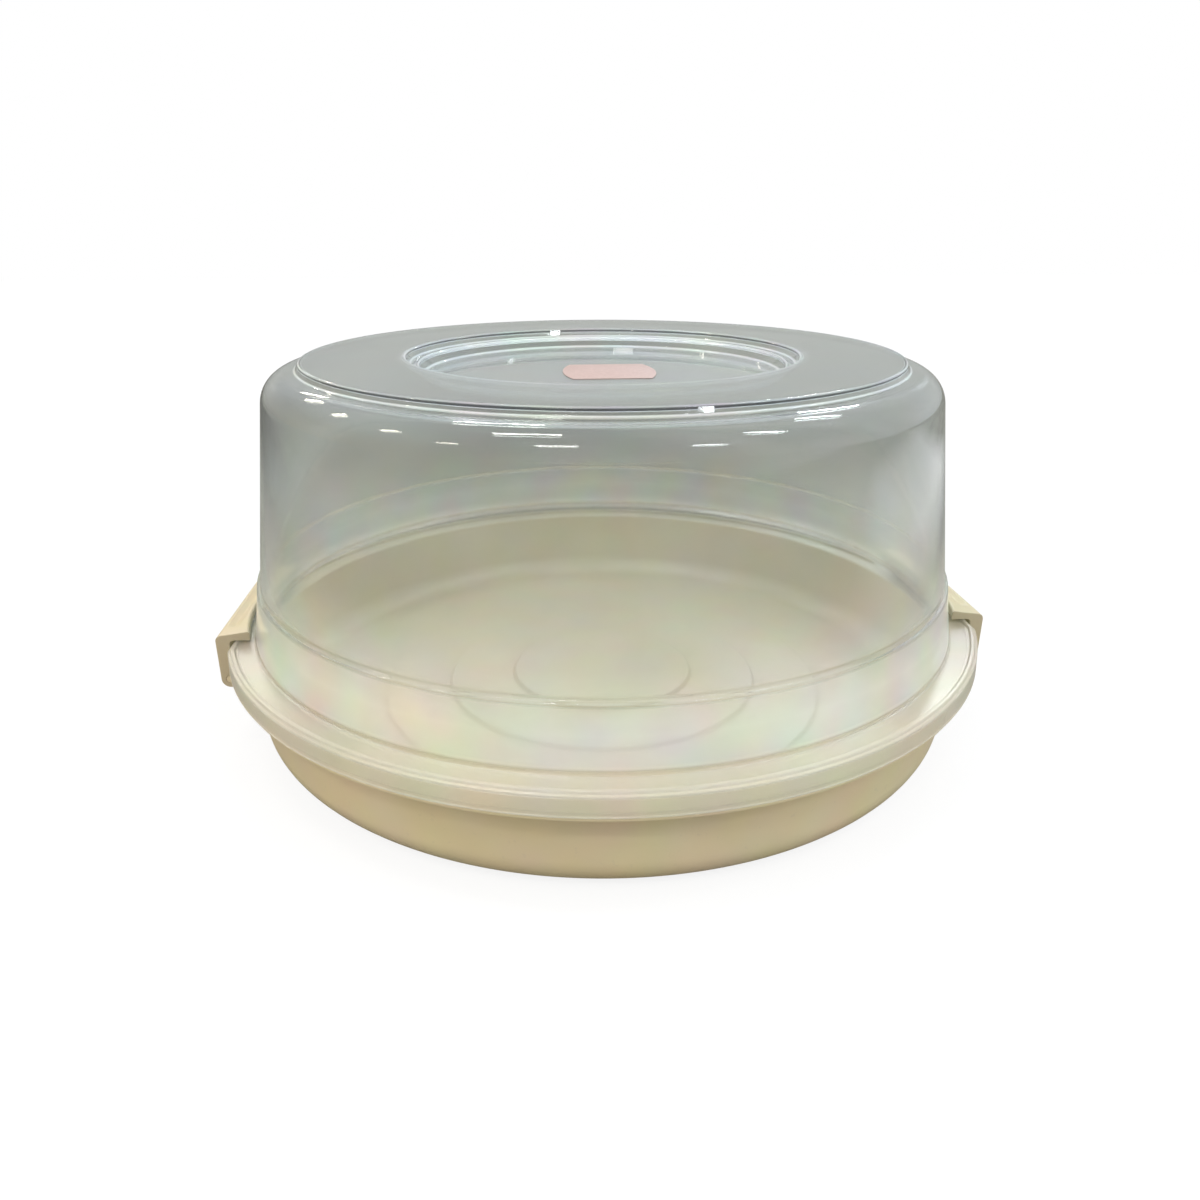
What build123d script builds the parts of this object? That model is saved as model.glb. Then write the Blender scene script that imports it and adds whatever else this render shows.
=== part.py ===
"""Round cake carrier: a shallow tray, a clear domed lid and two side latches that snap on hinge bars."""
import os
from math import hypot, radians, tan

from build123d import *

# ---- tray -----------------------------------------------------------------------------------------
tray_radius = 155.0            # outside of the tray wall, at its rim
tray_height = 38.3
tray_draft = 1.2               # how much the wall closes in between its rim and the bottom corner
tray_corner = 14.0             # outside radius of the rounded bottom corner
tray_wall = 2.2
tray_floor = 2.2
foot_width = 11.8              # flat ring that the tray stands on
foot_height = 1.8
terrace_count = 3              # round steps by which the floor rises towards the middle
terrace_radius = 102.4         # foot of the outermost step
terrace_width = 30.0           # each further step lies this much nearer the middle
terrace_rise = 2.3
terrace_slope = 1.0            # run of each sloping riser

# ---- ledge round the tray, which the lid stands on --------------------------------------------------
ledge_reach = 9.0              # how far the ledge stands out from the wall
ledge_thickness = 2.0
ledge_bevel = 0.9              # bevel under the ledge's outer edge
rib_height = 1.2               # locating rib just inside the lid's lip
rib_width = 1.8
rib_clearance = 0.5            # between the rib and the lip

# ---- rim of the lid: lip, flange and bead, with a flat at each side where the latches close ---------
lid_wall = 1.9
seat_gap = 0.2                 # lip above the ledge
lip_overhang = 1.0             # lip beyond the ledge
lip_draft = 3.0                # degrees
lip_height = 8.2               # from the lip's lower edge to the top of the flange
flange_width = 11.6            # from the dome out to the lip, in front and behind
flange_bevel = 0.6
bead_height = 0.9              # raised bead along the flange's edge
bead_width = 2.2
bead_inset = 1.4
bead_bevel = 0.5
bead_gap = 0.4                 # between the bead and the dome, at the flats
flat_corner = 5.0              # rounding where a flat runs into the round rim

# ---- dome -------------------------------------------------------------------------------------------
lid_height = 158.2             # height of the platform above the table
skirt_height = 23.5            # lowest part of the dome's wall, below the step
skirt_draft = 3.6
step_width = 1.4               # the wall above the skirt stands back by this much
step_rise = 1.2
wall_draft = 10.4
shoulder_width = 14.4          # from the platform out to where shoulder and wall would meet
shoulder_drop = 4.9            # that corner below the platform
shoulder_round = 12.0
platform_step = 2.8            # height of the platform above the shoulder
platform_slope = 1.5           # run of the sloping edge of the platform
recess_radius = 82.0           # round recess in the platform
recess_step_width = 5.4        # the step halfway down the recess
recess_step_depth = 3.4
recess_depth = 7.9
recess_slope = 1.6             # run of each sloping recess wall

# ---- label on the floor of the recess ---------------------------------------------------------------
label_width = 39.0
label_depth = 37.6
label_bulge = 3.5              # how far each side bows out
label_thickness = 0.3
label_x = 2.5
label_y = -5.0

# ---- latches ----------------------------------------------------------------------------------------
latch_length = 84.0
latch_gap = 0.6                # between the latch's wall and the lid's lip
latch_hook = 2.1               # thickness of the hook over the lid's flange, at the outer face
hook_slope = 8.0               # degrees by which the hook's top climbs towards the dome
latch_wall_top = 5.8
latch_wall_low = 4.9
latch_round = 2.6              # outer top corner
latch_inner_round = 1.5        # corner under the hook
latch_end_bevel = 0.5          # along the outline of both ends
hook_gap = 0.3                 # between the hook and the bead under it
dome_clearance = 1.8           # between the hook's curved edge and the dome
groove_start = 2.2             # finger groove along the top: its outer side, in from the outer face
groove_valley = 5.2            # where it is deepest
groove_end = 7.8               # where its inner side ends
groove_depth = 1.2
groove_land = 9.0              # flat land between the groove and each end

# ---- hinge bars under the ledge ---------------------------------------------------------------------
bar_drop = 6.0                 # middle of the bar below the ledge
bar_radius = 1.6
bar_clearance = 0.08
clip_wall = 2.0                # wall of the latch's clip round the bar
clip_mouth = 2.5               # opening that snaps over the bar
lug_width = 3.0
lug_radius = 2.3
lug_inset = 5.0                # middle of each outer lug, in from the end of the bar
lug_depth = 6.0                # how far each lug reaches in under the ledge
lug_clearance = 0.5
lug_swing = 0.9                # room over a lug for the latch to swing
bond = 0.5                     # depth by which joined shapes run into each other

# ---- sizes that follow: tray and rim ------------------------------------------------------------------
floor_top = foot_height + tray_floor
tray_low_radius = tray_radius - tray_draft
tray_inner = tray_radius - tray_wall
cavity_low_radius = tray_low_radius - tray_wall
cavity_corner = tray_corner - floor_top
terrace_inset = tray_floor * (hypot(terrace_slope, terrace_rise) - terrace_slope) / terrace_rise
foot_outer = tray_low_radius - tray_corner
foot_inner = foot_outer - foot_width
ledge_radius = tray_radius + ledge_reach
ledge_bottom = tray_height - ledge_thickness
lip_radius = ledge_radius + lip_overhang
lip_bottom = tray_height + seat_gap
flange_top = lip_bottom + lip_height
flange_bottom = flange_top - lid_wall
dome_foot_radius = lip_radius - flange_width
flat_x = dome_foot_radius + bead_gap + bead_width + bead_inset
rib_outer = lip_radius - lid_wall - rib_clearance
rib_reach = flat_x - lid_wall - rib_clearance - rib_width

# ---- sizes that follow: dome ----------------------------------------------------------------------------
skirt_radius = dome_foot_radius - skirt_draft
skirt_top = flange_top + skirt_height
wall_radius = skirt_radius - step_width
shoulder_radius = wall_radius - wall_draft
shoulder_height = lid_height - shoulder_drop
platform_radius = shoulder_radius - shoulder_width
recess_step_radius = recess_radius - recess_step_width
recess_step_height = lid_height - recess_step_depth
recess_floor = lid_height - recess_depth
label_half_depth = label_depth / 2
label_half_front = label_width / 2 - label_bulge

# ---- sizes that follow: latches ---------------------------------------------------------------------------
hook_bottom = flange_top + bead_height + hook_gap
latch_top = hook_bottom + latch_hook
latch_face = flat_x + latch_gap + latch_wall_top
hook_reach = flat_x - latch_length / 2
hook_climb = tan(radians(hook_slope))
hook_top = latch_top + (latch_face - hook_reach) * hook_climb
hook_inner_radius = dome_foot_radius + dome_clearance
groove_length = latch_length - 2 * groove_land
clip_radius = bar_radius + bar_clearance + clip_wall
bar_x = latch_face - clip_radius
bar_z = ledge_bottom - bar_drop
lug_pitch = latch_length / 2 - lug_inset
lug_places = [-lug_pitch, 0, lug_pitch]


def rim_outline(radius, flat):
    """Circle with a flat at each side: the outline of the ledge and of the lid's rim."""
    with BuildSketch() as outline:
        Circle(radius)
        Rectangle(2 * flat, 2 * radius, mode=Mode.INTERSECT)
        fillet(outline.vertices(), flat_corner)
    return outline.sketch


def terraces(height, inset):
    """Points of the stepped floor from the middle outwards, above a lowest height and inset from the risers."""
    line = [(0, height + terrace_count * terrace_rise)]
    for step in reversed(range(terrace_count)):
        radius = terrace_radius - step * terrace_width - inset
        line.append((radius - terrace_slope, height + (step + 1) * terrace_rise))
        line.append((radius, height + step * terrace_rise))
    return line


# ---- ledge: the tray's rim turned outwards, with the rib that centres the lid -------------------------
with BuildPart() as ledge:
    with BuildSketch(Plane.XY.offset(ledge_bottom)):
        add(rim_outline(ledge_radius, flat_x))
    extrude(amount=ledge_thickness)
    chamfer(ledge.edges().group_by(Axis.Z)[0], ledge_bevel)
    with BuildSketch(Plane.XY.offset(tray_height - bond)):
        Circle(rib_outer)
        Circle(rib_outer - rib_width, mode=Mode.SUBTRACT)
        Rectangle(2 * rib_reach, 2 * rib_outer, mode=Mode.INTERSECT)
    extrude(amount=rib_height + bond)

# ---- lugs and bar that one latch hangs on -------------------------------------------------------------
with BuildPart() as hinge_bar:
    with BuildSketch(Plane.XZ) as bar_section:
        with Locations((bar_x, bar_z)):
            Circle(bar_radius)
    extrude(amount=latch_length / 2, both=True)
    with BuildSketch(Plane.XZ) as lug_section:
        with Locations((bar_x, bar_z)):
            Circle(lug_radius)
        with Locations((flat_x - ledge_bevel - lug_depth / 2, ledge_bottom)):
            Rectangle(lug_depth, 2 * bond)
        make_hull()
    for place in lug_places:
        with Locations((0, place, 0)):
            add(extrude(lug_section.sketch, amount=lug_width / 2, both=True, mode=Mode.PRIVATE))

# ---- tray: revolved shell with its ledge and both hinge bars --------------------------------------------
with BuildPart() as base_tray:
    with BuildSketch(Plane.XZ):
        with BuildLine():
            under = Polyline(
                (0, tray_height),
                *terraces(foot_height, terrace_inset),
                (foot_inner - foot_height, foot_height),
                (foot_inner, 0),
                (foot_outer, 0),
            )
            corner = JernArc(under @ 1, (1, 0), tray_corner, 90)
            Polyline(corner @ 1, (tray_radius, ledge_bottom), (tray_radius, tray_height), under @ 0)
        make_face()
    revolve(axis=Axis.Z)
    add(ledge.part)
    add(hinge_bar.part)
    mirror(hinge_bar.part, about=Plane.YZ)
    with BuildSketch(Plane.XZ):
        with BuildLine():
            floor = Polyline(
                (0, lid_height),
                *terraces(floor_top, 0),
                (cavity_low_radius - cavity_corner, floor_top),
            )
            rise = JernArc(floor @ 1, (1, 0), cavity_corner, 90)
            Polyline(rise @ 1, (tray_inner, ledge_bottom), (tray_inner, lid_height), floor @ 0)
        make_face()
    revolve(axis=Axis.Z, mode=Mode.SUBTRACT)

# ---- rim of the lid: flange, lip and bead, all with the two flats ---------------------------------------
with BuildPart() as lid_rim:
    with BuildSketch(Plane.XY.offset(lip_bottom)):
        add(rim_outline(lip_radius, flat_x))
    extrude(amount=lip_height, taper=lip_draft)
    chamfer(lid_rim.edges().group_by(Axis.Z)[-1], flange_bevel)
    with BuildSketch(Plane.XY.offset(flange_top - bond)):
        add(rim_outline(lip_radius - bead_inset, flat_x - bead_inset))
        offset(amount=-bead_width, mode=Mode.SUBTRACT)
    extrude(amount=bead_height + bond)
    chamfer(lid_rim.edges().group_by(Axis.Z)[-1], bead_bevel)
    with BuildSketch(Plane.XY.offset(lip_bottom)):
        add(rim_outline(lip_radius - lid_wall, flat_x - lid_wall))
    extrude(amount=flange_bottom - lip_bottom, taper=lip_draft, mode=Mode.SUBTRACT)
    with BuildSketch(Plane.XY.offset(lip_bottom)):
        Circle(dome_foot_radius - lid_wall)
    extrude(amount=lid_height, mode=Mode.SUBTRACT)

# ---- dome: one line from the middle of the top down to the flange, given its wall inwards -----------------
with BuildLine() as dome_line:
    Polyline(
        (0, recess_floor),
        (recess_step_radius - recess_slope, recess_floor),
        (recess_step_radius, recess_step_height),
        (recess_radius - recess_slope, recess_step_height),
        (recess_radius, lid_height),
        (platform_radius, lid_height),
        (platform_radius + platform_slope, lid_height - platform_step),
        (shoulder_radius, shoulder_height),
        (wall_radius, skirt_top + step_rise),
        (skirt_radius, skirt_top),
        (dome_foot_radius, flange_bottom),
    )
    fillet(dome_line.vertices().sort_by_distance((shoulder_radius, shoulder_height))[0], shoulder_round)

with BuildPart() as lid_dome:
    with BuildSketch(Plane.XZ):
        make_face(dome_line.wires()[0].offset_2d(lid_wall, kind=Kind.INTERSECTION, side=Side.RIGHT))
        with Locations((0, flange_bottom)):
            Rectangle(2 * lip_radius, 2 * lid_wall, align=(Align.CENTER, Align.MAX), mode=Mode.SUBTRACT)
    revolve(axis=Axis.Z)
    add(lid_rim.part)

# ---- label on the recess floor --------------------------------------------------------------------------
with BuildPart() as lid_label:
    with BuildSketch(Plane(origin=(label_x, label_y, recess_floor))):
        with BuildLine():
            front = Line((-label_half_front, -label_half_depth), (label_half_front, -label_half_depth))
            right = ThreePointArc(front @ 1, (label_width / 2, 0), (label_half_front, label_half_depth))
            back = Line(right @ 1, (-label_half_front, label_half_depth))
            ThreePointArc(back @ 1, (-label_width / 2, 0), front @ 0)
        make_face()
    extrude(amount=label_thickness)

# ---- latch: a hook over the flange, a wall, and a clip round the hinge bar --------------------------------
with BuildPart() as latch_right:
    with BuildSketch(Plane.XZ) as latch_section:
        with BuildLine():
            Polyline(
                (latch_face, bar_z),
                (latch_face, latch_top),
                (hook_reach, hook_top),
                (hook_reach, hook_bottom),
                (latch_face - latch_wall_top, hook_bottom),
                (latch_face - latch_wall_low, bar_z),
                close=True,
            )
        make_face()
        corners = latch_section.vertices()
        fillet(corners.sort_by_distance((latch_face, latch_top))[0], latch_round)
        corners = latch_section.vertices()
        fillet(corners.sort_by_distance((latch_face - latch_wall_top, hook_bottom))[0], latch_inner_round)
        with Locations((bar_x, bar_z)):
            Circle(clip_radius)
    extrude(amount=latch_length / 2, both=True)
    # the hook ends in a curve that follows the dome
    with BuildSketch(Plane.XY):
        Circle(hook_inner_radius)
    extrude(amount=lid_height, mode=Mode.SUBTRACT)
    ends = latch_right.faces().sort_by(Axis.Y)
    chamfer(ends[0].edges() + ends[-1].edges(), latch_end_bevel)
    # finger groove
    with BuildSketch(Plane.XZ):
        with BuildLine():
            Polyline(
                (latch_face - groove_start, latch_top + groove_start * hook_climb),
                (latch_face - groove_valley, latch_top + groove_valley * hook_climb - groove_depth),
                (latch_face - groove_end, latch_top + groove_end * hook_climb),
                (latch_face - groove_valley, hook_top),
                close=True,
            )
        make_face()
    extrude(amount=groove_length / 2, both=True, mode=Mode.SUBTRACT)
    # bore and mouth of the clip
    with BuildSketch(Plane.XZ):
        with Locations((bar_x, bar_z)):
            Circle(bar_radius + bar_clearance)
            Rectangle(clip_radius + bond, clip_mouth, align=(Align.MAX, Align.CENTER))
    extrude(amount=latch_length, both=True, mode=Mode.SUBTRACT)
    # gaps for the lugs
    with BuildSketch(Plane.XZ) as lug_gap:
        with Locations((bar_x, bar_z)):
            Circle(ledge_bottom - bar_z + lug_swing)
    for place in lug_places:
        with Locations((0, place, 0)):
            gap = extrude(lug_gap.sketch, amount=lug_width / 2 + lug_clearance, both=True, mode=Mode.PRIVATE)
            add(gap, mode=Mode.SUBTRACT)

with BuildPart() as latch_left:
    mirror(latch_right.part, about=Plane.YZ)

# ---- write every piece ------------------------------------------------------------------------------------
pieces = {
    "base_tray": base_tray,
    "lid_dome": lid_dome,
    "lid_label": lid_label,
    "latch_left": latch_left,
    "latch_right": latch_right,
}
os.makedirs("parts", exist_ok=True)
for name, piece in pieces.items():
    piece.part.label = name
    export_step(piece.part, f"parts/{name}.step")
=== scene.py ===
"""Looks of a round cake carrier: cream tray, clear domed lid, pink label and two side latches on hinge bars.

Every piece is a surface worked out with numpy in millimetres, in the part's own frame: +Z up and the table
at z = 0. Finishes, lamps and the camera are in metres.
"""
from math import atan2, cos, degrees, pi, radians, sin, sqrt, tan

import bmesh
import bpy
import numpy as np
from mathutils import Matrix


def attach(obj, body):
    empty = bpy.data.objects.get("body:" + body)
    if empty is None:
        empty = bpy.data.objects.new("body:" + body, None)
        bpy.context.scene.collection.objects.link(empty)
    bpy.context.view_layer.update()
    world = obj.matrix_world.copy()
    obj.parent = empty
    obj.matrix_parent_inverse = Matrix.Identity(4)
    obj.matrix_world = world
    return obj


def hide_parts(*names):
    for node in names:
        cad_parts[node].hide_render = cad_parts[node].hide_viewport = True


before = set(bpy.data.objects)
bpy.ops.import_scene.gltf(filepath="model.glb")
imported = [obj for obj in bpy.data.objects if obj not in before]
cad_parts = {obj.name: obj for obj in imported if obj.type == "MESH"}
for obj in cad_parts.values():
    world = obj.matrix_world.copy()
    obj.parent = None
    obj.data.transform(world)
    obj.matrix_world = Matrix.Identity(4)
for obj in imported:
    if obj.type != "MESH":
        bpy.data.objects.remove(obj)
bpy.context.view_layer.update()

MM = 0.001

# ---- fineness of the surfaces -----------------------------------------------------------------------
COLUMNS = 336                    # even columns round each turned shell
FLAT_END_COLUMNS = np.linspace(-1.1, 1.1, 12) * radians(0.9)  # more of them on both sides of a flat's end
WIDE_ROUNDING = 5.0              # a rounding above this is a large curve, and one below it is an edge
WIDE_SEGMENTS, EDGE_SEGMENTS = 14, 4
LEAST_ROUNDING = 0.35            # of the corners inside a wall
LATCH_STATIONS = 43
LATCH_BEVEL, BAR_BEVEL = 0.35, 0.25
BAR_SIDES, LUG_SIDES = 48, 24
LABEL_STATIONS = 33

# ---- sizes of the tray ----------------------------------------------------------------------------
TRAY_RADIUS = 155.0
TRAY_LOW_RADIUS = 153.8
TRAY_CORNER = 14.0
TRAY_WALL = 2.2
CORNER_SHIFT = 0.15              # outward shift of the inner corner, for the wall's draft
FOOT_OUTER = 139.8
FOOT_WIDTH = 11.8
FOOT_HEIGHT = 1.8
FLOOR_TOP = 4.0
TERRACE_RADII = (42.4, 72.4, 102.4)
TERRACE_RISE = 2.3
TERRACE_SLOPE = 1.0
TERRACE_INSET = 1.44             # the underside's risers lie this much nearer the middle
LEDGE_RADIUS = 164.0
LEDGE_BOTTOM = 36.3
LEDGE_TOP = 38.3
LEDGE_BEVEL = 0.9
RIB_OUTER = 162.6
RIB_WIDTH = 1.8
RIB_HEIGHT = 1.2
RIB_DRAFT = 0.05
RIB_REACH = 153.2                # where the rib ends, measured along X
RIB_FADE = radians(1)            # turn over which its ends sink

# ---- sizes of the lid's rim and dome --------------------------------------------------------------
WALL = 1.9
FLAT_X = 157.4
FLAT_CORNER = 5.0
LIP_RADIUS = 165.0
LIP_BOTTOM = 38.5
LIP_DRAFT = tan(radians(3))
FLANGE_TOP = 46.7
FLANGE_BOTTOM = FLANGE_TOP - WALL
BEAD_INSET = 1.4
BEAD_WIDTH = 2.2
BEAD_HEIGHT = 0.9
BEAD_SIDE = 0.45                 # run of each sloping side
BEAD_FOOT_IN, BEAD_FOOT_OUT = 0.1, 0.05
LIP_TOP_DROP = 0.1
LID_TOP = 158.2
DOME_FOOT_RADIUS = 153.4
SKIRT_RADIUS = 149.8
SKIRT_TOP = 70.2
WALL_RADIUS = 148.4
STEP_RISE = 1.2
SHOULDER_RADIUS = 138.0
SHOULDER_HEIGHT = 153.3
SHOULDER_ROUND = 12.0
PLATFORM_RADIUS = 123.6
PLATFORM_SLOPE = 1.5
PLATFORM_STEP = 2.8
RECESS_RADIUS = 82.0
RECESS_SLOPE = 1.6
RECESS_STEP_RADIUS = 76.6
RECESS_STEP_HEIGHT = 154.8
RECESS_FLOOR = 150.3

# ---- sizes of the latches and their hinge bars ------------------------------------------------------
LATCH_HALF = 42.0
LATCH_FACE = 163.8
LATCH_TOP = 50.0
LATCH_ROUND = 2.6
INNER_ROUND = 1.5
HOOK_BOTTOM = 47.9
HOOK_INNER = 155.2
HOOK_SLOPE = 8.0
TIP_ROUND = 1.1
TIP_UNDER_ROUND = 0.7
WALL_TOP_X = 158.0
WALL_LOW_X = 158.9
FACE_AT_GAP = 0.32               # how far the sloping inner face stands in from there, over a lug
FACE_AT_CLIP = 0.17              # and where the clip joins it
GROOVE_START = LATCH_FACE - 2.2
GROOVE_VALLEY = LATCH_FACE - 5.2
GROOVE_END = LATCH_FACE - 7.8
GROOVE_DEPTH = 1.2
GROOVE_HALF = 33.0
GROOVE_FADE = 3.0                # length over which each end of the groove runs out
GROOVE_SOFTNESS = 0.01           # rounds the valley
GROOVE_LIFT = 5.0                # climb of the groove's surface where it has run out
BAR_X = 160.12
BAR_Z = 30.3
BAR_RADIUS = 1.6
BORE_RADIUS = 1.68
CLIP_RADIUS = 3.68
MOUTH_HALF = 1.25
GAP_RADIUS = 6.9                 # arc that closes the wall over a lug
GAP_HALF = 2.0
LUG_PLACES = (-37.0, 0.0, 37.0)
LUG_WIDTH = 3.0
LUG_RADIUS = 2.3
LUG_BACK = TRAY_RADIUS - 1.0
LUG_FRONT = FLAT_X - LEDGE_BEVEL
LUG_TOP = LEDGE_BOTTOM + 0.3     # sunk into the ledge

# ---- label ------------------------------------------------------------------------------------------
LABEL_CENTRE = (2.5, -5.0)
LABEL_HALF_WIDTH = 19.5
LABEL_HALF_DEPTH = 18.8
LABEL_BULGE = 3.5
LABEL_THICKNESS = 0.3
LABEL_EDGE = 0.08                # height of the slanted edges
LABEL_FOOT_INSET, LABEL_TOP_INSET = 0.25, 0.12
LABEL_SHARP = 40                 # degrees


# ==== shapes =========================================================================================
def placed(name, data):
    """An object of that data, in the scene and at the origin."""
    made = bpy.data.objects.new(name, data)
    bpy.context.scene.collection.objects.link(made)
    return made


def mesh_object(name, points, faces):
    """A mesh from points in millimetres and lists of corner numbers, with every face turned outwards."""
    mesh = bpy.data.meshes.new(name)
    mesh.from_pydata((np.asarray(points) * MM).tolist(), [], faces)
    turned = bmesh.new()
    turned.from_mesh(mesh)
    bmesh.ops.recalc_face_normals(turned, faces=turned.faces)
    turned.to_mesh(mesh)
    turned.free()
    mesh.shade_smooth()
    return placed(name, mesh)


def give_attribute(piece, name, values):
    """Stores one number per point of the piece's mesh, which its finish reads by that name."""
    attribute = piece.data.attributes.new(name, "FLOAT", "POINT")
    attribute.data.foreach_set("value", np.asarray(values).astype(np.float32))


def ring_quads(rings, count):
    """Corner numbers of the quads between each ring of points and the next, as (rings - 1, count, 4)."""
    here = np.arange(count)
    onward = np.roll(here, -1)
    base = np.arange(rings - 1)[:, None] * count
    return np.stack([base + here, base + onward, base + count + onward, base + count + here], axis=-1)


def arc_corner(before, corner, after, rounding, segments, guard=0.12):
    """A corner of a line as points of an arc: the arc's centre lies on the corner's bisector, at the rounding
    over the sine of half its angle, and a guard point on each straight run keeps that run's shading flat."""
    back = (before - corner) / np.linalg.norm(before - corner)
    onward = (after - corner) / np.linalg.norm(after - corner)
    half = np.arccos(np.clip(back @ onward, -1, 1)) / 2
    reach = rounding / np.tan(half)
    centre = corner + (back + onward) / np.linalg.norm(back + onward) * rounding / np.sin(half)
    start = (corner + back * reach - centre) / rounding
    end = (corner + onward * reach - centre) / rounding
    sweep = np.pi - 2 * half
    share = np.linspace(0, 1, segments + 1)[:, None]
    swept = (np.sin((1 - share) * sweep) * start + np.sin(share * sweep) * end) / np.sin(sweep)
    arc = centre + rounding * swept
    return np.vstack([corner + back * (reach + guard), arc, corner + onward * (reach + guard)])


def rounded_line(corners):
    """Rows of (radius, height, follows the flats, edge) from corners of (radius, height, rounding, follows
    the flats). Edge rises as a sine to 1 in the middle of each narrow rounding, and is 0 elsewhere."""
    rows = [[(corners[0][0], corners[0][1], corners[0][3], 0.0)]]
    for before, here, after in zip(corners, corners[1:], corners[2:]):
        line = [np.array(c[:2], float) for c in (before, here, after)]
        arc = arc_corner(*line, here[2], WIDE_SEGMENTS if here[2] > WIDE_ROUNDING else EDGE_SEGMENTS)
        edge = np.sin(np.linspace(0, np.pi, len(arc))) * (here[2] < WIDE_ROUNDING)
        rows.append(np.column_stack([arc, np.full(len(arc), here[3]), edge]))
    rows.append([(corners[-1][0], corners[-1][1], corners[-1][3], 0.0)])
    return np.vstack(rows)


def offset_line(corners, wall):
    """The line moved inwards by the wall: each corner moves along its bisector by the wall over the cosine of
    half its turn, and its rounding grows or shrinks by the wall."""
    line = np.array([c[:2] for c in corners], float)
    runs = np.diff(line, axis=0)
    runs /= np.linalg.norm(runs, axis=1)[:, None]
    normals = np.column_stack([runs[:, 1], -runs[:, 0]])
    first = np.vstack([normals[:1], normals])
    second = np.vstack([normals, normals[-1:]])
    middle = first + second
    moved = line + wall * 2 * middle / (middle ** 2).sum(1)[:, None]
    padded = np.vstack([runs[:1], runs, runs[-1:]])
    turn = padded[:-1, 0] * padded[1:, 1] - padded[:-1, 1] * padded[1:, 0]
    return [
        (x, z, max(LEAST_ROUNDING, corner[2] + (wall if bend > 0 else -wall)), corner[3])
        for (x, z), corner, bend in zip(moved, corners, turn)
    ]


def rim_distance(radius, flat, angle):
    """Distance from the axis to a round outline with a flat at each side: the flat over the cosine of the
    angle, then the rounding's circle, met at dot + sqrt(dot squared - centre squared + rounding squared), and
    then the outline's own radius."""
    along, across = np.abs(np.cos(angle)), np.abs(np.sin(angle))
    centre_x = flat - FLAT_CORNER
    centre_y = np.sqrt((radius - FLAT_CORNER) ** 2 - centre_x ** 2)
    dot = centre_x * along + centre_y * across
    rounding = dot + np.sqrt(np.maximum(dot ** 2 - centre_x ** 2 - centre_y ** 2 + FLAT_CORNER ** 2, 0))
    turn = np.arctan2(across, along)
    on_flat = turn < np.arctan2(centre_y, flat)
    on_round = turn > np.arctan2(centre_y, centre_x)
    return np.where(on_flat, flat / np.maximum(along, 1e-9), np.where(on_round, radius, rounding))


def column_angles(radius):
    """Even angles round the axis, with more of them where each flat runs into a round rim of that radius."""
    even = np.linspace(0, 2 * pi, COLUMNS, endpoint=False)
    flat_angle = atan2(sqrt(radius ** 2 - FLAT_X ** 2), FLAT_X)
    corners = [flat_angle, pi - flat_angle, pi + flat_angle, 2 * pi - flat_angle]
    angles = np.concatenate([even] + [corner + FLAT_END_COLUMNS for corner in corners])
    return np.unique(np.round(angles % (2 * pi), 5))


def turned_shell(name, rows, rim_radius, lift=None):
    """A closed shell turned round the axis: every row of rounded_line goes round at all angles, at x = radius
    times cosine and y = radius times sine, and rows that follow the flats keep their distance from the rim's
    outline. The first and last rows are points on the axis. Lift may change the heights, and each point keeps
    its row's edge value as the attribute "edge"."""
    angles = column_angles(rim_radius)
    radius, height, follows = rows[1:-1, 0:1], rows[1:-1, 1:2], rows[1:-1, 2:3] > 0.5
    safe = np.where(follows, radius, LIP_RADIUS)
    outline = rim_distance(safe, safe - (rim_radius - FLAT_X), angles[None, :])
    distance = np.where(follows, outline, radius)
    z = np.broadcast_to(height, distance.shape)
    if lift is not None:
        z = lift(z, distance, angles[None, :], follows)
    grid = np.stack([distance * np.cos(angles), distance * np.sin(angles), z], axis=-1)
    count_rows, count = distance.shape
    points = np.vstack([grid.reshape(-1, 3), [(0, 0, rows[0, 1]), (0, 0, rows[-1, 1])]])
    here = np.arange(count)
    onward = np.roll(here, -1)
    quads = ring_quads(count_rows, count)
    top, bottom = count_rows * count, count_rows * count + 1
    last = (count_rows - 1) * count
    fans = np.vstack([
        np.column_stack([here, onward, np.full(count, top)]),
        np.column_stack([last + onward, last + here, np.full(count, bottom)]),
    ])
    made = mesh_object(name, points, quads.reshape(-1, 4).tolist() + fans.tolist())
    give_attribute(made, "edge", np.append(np.repeat(rows[1:-1, 3], count), [0, 0]))
    return made


def extruded(outline, low, high):
    """A closed outline of (x, z) carried straight along Y: one face per side and one at each end."""
    count = len(outline)
    ends = [np.column_stack([outline[:, 0], np.full(count, y), outline[:, 1]]) for y in (low, high)]
    here = np.arange(count)
    sides = ring_quads(2, count)[0].tolist()
    return np.vstack(ends), sides + [here.tolist(), (count + here)[::-1].tolist()]


def joined(parts):
    """Several closed shapes as one list of points and one list of faces."""
    points, faces, start = [], [], 0
    for shape_points, shape_faces in parts:
        points.append(shape_points)
        faces += [[start + corner for corner in face] for face in shape_faces]
        start += len(shape_points)
    return np.vstack(points), faces


def bevelled(piece, width, angle=35):
    """Rounds the piece's sharp edges with a narrow two-step bevel."""
    bevel = piece.modifiers.new("bevel", "BEVEL")
    bevel.width = width * MM
    bevel.segments = 2
    bevel.limit_method = "ANGLE"
    bevel.angle_limit = radians(angle)
    bevel.harden_normals = True
    piece.data.set_sharp_from_angle(angle=radians(angle))
    return piece


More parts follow.
